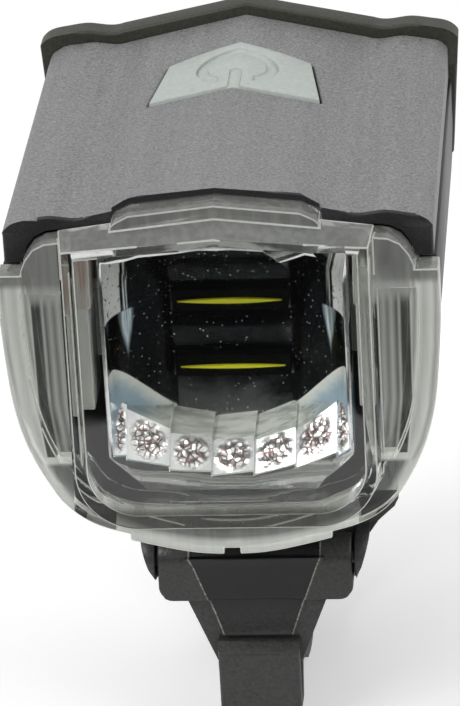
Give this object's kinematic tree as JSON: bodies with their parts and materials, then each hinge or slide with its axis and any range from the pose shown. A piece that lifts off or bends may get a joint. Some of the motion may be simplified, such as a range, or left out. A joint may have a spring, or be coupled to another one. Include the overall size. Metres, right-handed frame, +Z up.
{
  "type": "bicycle headlight",
  "caption": "Handlebar lamp with a roof-shaped case, clear domed lens over a stepped reflector, top button and a lever clamp that swivels under it.",
  "frame": {"origin": "on the handlebar's axis, in the middle of the clamp", "axes": "+X along the handlebar, -Y the way the lamp shines, +Z up; alike on both sides of X = 0"},
  "size_m": [0.0472, 0.0715, 0.078],
  "materials": {
    "cover_plastic": "fine-grained moulded plastic, dark grey",
    "housing_plastic": "satin black moulded plastic",
    "bracket_plastic": "satin dark grey nylon",
    "clear_plastic": "clear polycarbonate with frosted edges",
    "button_plastic": "pale translucent silicone",
    "mirror_coat": "metallised plastic",
    "phosphor": "yellow phosphor",
    "circuit_board": "glass-fibre board with solder mask",
    "black_parts": "black component bodies",
    "led_packages": "white package bodies",
    "steel": "plated steel",
    "sink_aluminium": "as extruded",
    "cell_wrap": "wrapped prismatic cell",
    "foam": "closed-cell foam",
    "rubber": "matt black rubber",
    "washer_nylon": "natural nylon"
  },
  "bodies": {
    "bracket": {"bracket_body": "bracket_plastic", "saddle_pad": "rubber", "swivel_washer": "washer_nylon", "lever_pin": "steel", "jaw_pin": "steel"},
    "lever": {"clamp_lever": "bracket_plastic"},
    "jaw": {"clamp_jaw": "bracket_plastic", "jaw_pad": "rubber"},
    "button": {"push_button": "button_plastic", "switch_plunger": "black_parts"},
    "flap": {"usb_cover": "rubber"},
    "lamp": {"swivel_screw": "steel", "top_cover": "cover_plastic", "lower_housing": "housing_plastic", "housing_screws": "steel", "housing_seals": "rubber", "rear_cap": "housing_plastic", "rear_cap_screws": "steel", "front_lens": "clear_plastic", "lens_seal": "rubber", "reflector": "mirror_coat", "led_emitters": "led_packages", "phosphor_strips": "phosphor", "led_board": "circuit_board", "heat_sink": "sink_aluminium", "reflector_screws": "steel", "light_guide_left": "clear_plastic", "light_guide_right": "clear_plastic", "main_board": "circuit_board", "board_screws": "steel", "board_parts": "black_parts", "tact_switch": "black_parts", "indicator_leds": "led_packages", "usb_socket": "steel", "battery_cell_front": "cell_wrap", "battery_cell_rear": "cell_wrap", "battery_pad": "foam", "battery_tray": "black_parts"}
  },
  "joints": [
    {"name": "lamp_swivel", "type": "hinge", "parent": "bracket", "child": "lamp", "pos_m": [0, -0.008, 0.0186], "axis": [0, 0, 1], "range_deg": [-20, 20]},
    {"name": "lever_swing", "type": "hinge", "parent": "bracket", "child": "lever", "pos_m": [0, -0.0195, 0.005], "axis": [-1, 0, 0], "range_deg": [0, 95]},
    {"name": "jaw_swing", "type": "hinge", "parent": "bracket", "child": "jaw", "pos_m": [0, 0.0197, 0.001], "axis": [1, 0, 0], "range_deg": [0, 47.5]},
    {"name": "button_press", "type": "slide", "parent": "lamp", "child": "button", "axis": [0, 0, -1], "range_m": [0, 0.0006], "stiffness_N_per_m": 2000},
    {"name": "usb_flap", "type": "hinge", "parent": "lamp", "child": "flap", "pos_m": [0, 0.00825, 0.0443], "axis": [-1, 0, 0], "range_deg": [0, 90]}
  ],
  "couplings": [
    {"joint": "jaw_swing", "follows": "lever_swing", "ratio": 0.5}
  ]
}
